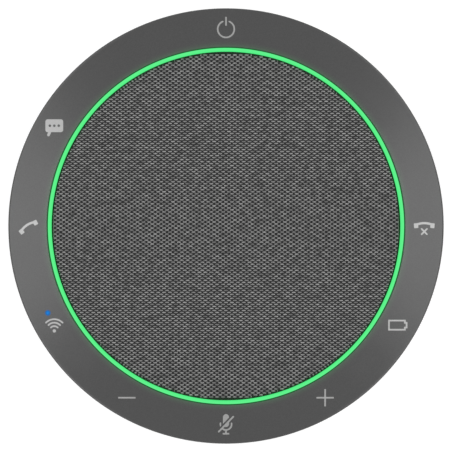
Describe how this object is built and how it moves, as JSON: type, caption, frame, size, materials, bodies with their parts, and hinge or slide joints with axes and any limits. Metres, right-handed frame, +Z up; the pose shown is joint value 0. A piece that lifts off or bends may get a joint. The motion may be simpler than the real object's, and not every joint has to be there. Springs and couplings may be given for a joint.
{
  "type": "conference speakerphone",
  "caption": "Round tabletop conference speakerphone with a knit grille, lit ring, sloped key ring with hidden keys, cable channel and rubber foot ring.",
  "frame": {"origin": "centre of the footprint on the table, at the bottom of the rubber foot ring", "axes": "+Z up, the height; +Y to the rear, where the power key and the cable gland are"},
  "size_m": [0.1324, 0.1324, 0.0332],
  "materials": {
    "foot_rubber": "matt black moulded rubber",
    "base_plastic": "fine textured black moulding",
    "shell_plastic": "fine textured dark grey moulding",
    "ring_skin": "soft-touch dark grey skin",
    "light_guide": "diffusing light guide, lit green",
    "white_plastic": "white moulded plastic",
    "knit_fabric": "two-tone grey acoustic knit",
    "screw_steel": "zinc plated",
    "circuit_board": "solder mask",
    "chip_plastic": "moulded epoxy",
    "tinned_metal": "tinned sheet",
    "ceramic": "ceramic and clear resin",
    "flex_film": "polyimide film",
    "key_clear": "translucent white moulding",
    "status_pipe": "clear pipe, lit blue",
    "motor_steel": "turned and plated",
    "magnet_nickel": "nickel plated",
    "copper_wire": "enamelled copper",
    "cone_paper": "coated paper",
    "spider_cloth": "resin treated cloth",
    "battery_foil": "pouch foil",
    "foam_tape": "foam tape"
  },
  "bodies": {
    "housing": {"antenna": "ceramic", "base_cover": "base_plastic", "base_screws": "screw_steel", "battery_leads": "copper_wire", "battery_pack": "battery_foil", "battery_tape": "foam_tape", "board_chips": "chip_plastic", "board_connectors": "white_plastic", "cable_gland": "foot_rubber", "chamber_gasket": "foot_rubber", "control_ring_frame": "base_plastic", "control_ring_skin": "ring_skin", "driver_basket": "base_plastic", "driver_gasket": "foot_rubber", "driver_magnet": "magnet_nickel", "driver_screws": "screw_steel", "driver_terminal": "chip_plastic", "driver_top_plate": "motor_steel", "driver_yoke": "motor_steel", "grille_fabric": "knit_fabric", "grille_plate": "base_plastic", "light_barrier": "base_plastic", "light_guide_ring": "light_guide", "lower_tub": "base_plastic", "main_board": "circuit_board", "main_board_screws": "screw_steel", "mic_boots": "foot_rubber", "mic_capsules": "chip_plastic", "mid_frame": "base_plastic", "mid_frame_screws": "screw_steel", "ring_board": "circuit_board", "ring_board_screws": "screw_steel", "ring_connector": "white_plastic", "ring_flex_cable": "flex_film", "ring_frame_screws": "screw_steel", "ring_leds": "ceramic", "rubber_foot": "foot_rubber", "shell_screws": "screw_steel", "shield_can": "tinned_metal", "side_shell": "shell_plastic", "speaker_chamber": "base_plastic", "speaker_leads": "copper_wire", "spider": "spider_cloth", "status_light_pipe": "status_pipe", "surround": "foot_rubber", "tact_switches": "tinned_metal", "tub_seal": "foot_rubber"},
    "speaker_cone": {"coil_former": "cone_paper", "cone": "cone_paper", "dust_cap": "cone_paper", "voice_coil": "copper_wire"},
    "key_answer": {"key_answer": "key_clear"},
    "key_battery": {"key_battery": "key_clear"},
    "key_end_call": {"key_end_call": "key_clear"},
    "key_meeting": {"key_meeting": "key_clear"},
    "key_mute": {"key_mute": "key_clear"},
    "key_power": {"key_power": "key_clear"},
    "key_volume_down": {"key_volume_down": "key_clear"},
    "key_volume_up": {"key_volume_up": "key_clear"},
    "key_wireless": {"key_wireless": "key_clear"}
  },
  "joints": [
    {"name": "cone_travel", "type": "slide", "parent": "housing", "child": "speaker_cone", "axis": [0, 0, 1], "range_m": [-0.002, 0.002], "stiffness_N_per_m": 2000, "deforming": ["surround", "spider"]},
    {"name": "answer_press", "type": "slide", "parent": "housing", "child": "key_answer", "axis": [0, 0, -1], "range_m": [0, 0.00025], "stiffness_N_per_m": 2000},
    {"name": "battery_press", "type": "slide", "parent": "housing", "child": "key_battery", "axis": [0, 0, -1], "range_m": [0, 0.00025], "stiffness_N_per_m": 2000},
    {"name": "end_call_press", "type": "slide", "parent": "housing", "child": "key_end_call", "axis": [0, 0, -1], "range_m": [0, 0.00025], "stiffness_N_per_m": 2000},
    {"name": "meeting_press", "type": "slide", "parent": "housing", "child": "key_meeting", "axis": [0, 0, -1], "range_m": [0, 0.00025], "stiffness_N_per_m": 2000},
    {"name": "mute_press", "type": "slide", "parent": "housing", "child": "key_mute", "axis": [0, 0, -1], "range_m": [0, 0.00025], "stiffness_N_per_m": 2000},
    {"name": "power_press", "type": "slide", "parent": "housing", "child": "key_power", "axis": [0, 0, -1], "range_m": [0, 0.00025], "stiffness_N_per_m": 2000},
    {"name": "volume_down_press", "type": "slide", "parent": "housing", "child": "key_volume_down", "axis": [0, 0, -1], "range_m": [0, 0.00025], "stiffness_N_per_m": 2000},
    {"name": "volume_up_press", "type": "slide", "parent": "housing", "child": "key_volume_up", "axis": [0, 0, -1], "range_m": [0, 0.00025], "stiffness_N_per_m": 2000},
    {"name": "wireless_press", "type": "slide", "parent": "housing", "child": "key_wireless", "axis": [0, 0, -1], "range_m": [0, 0.00025], "stiffness_N_per_m": 2000}
  ]
}
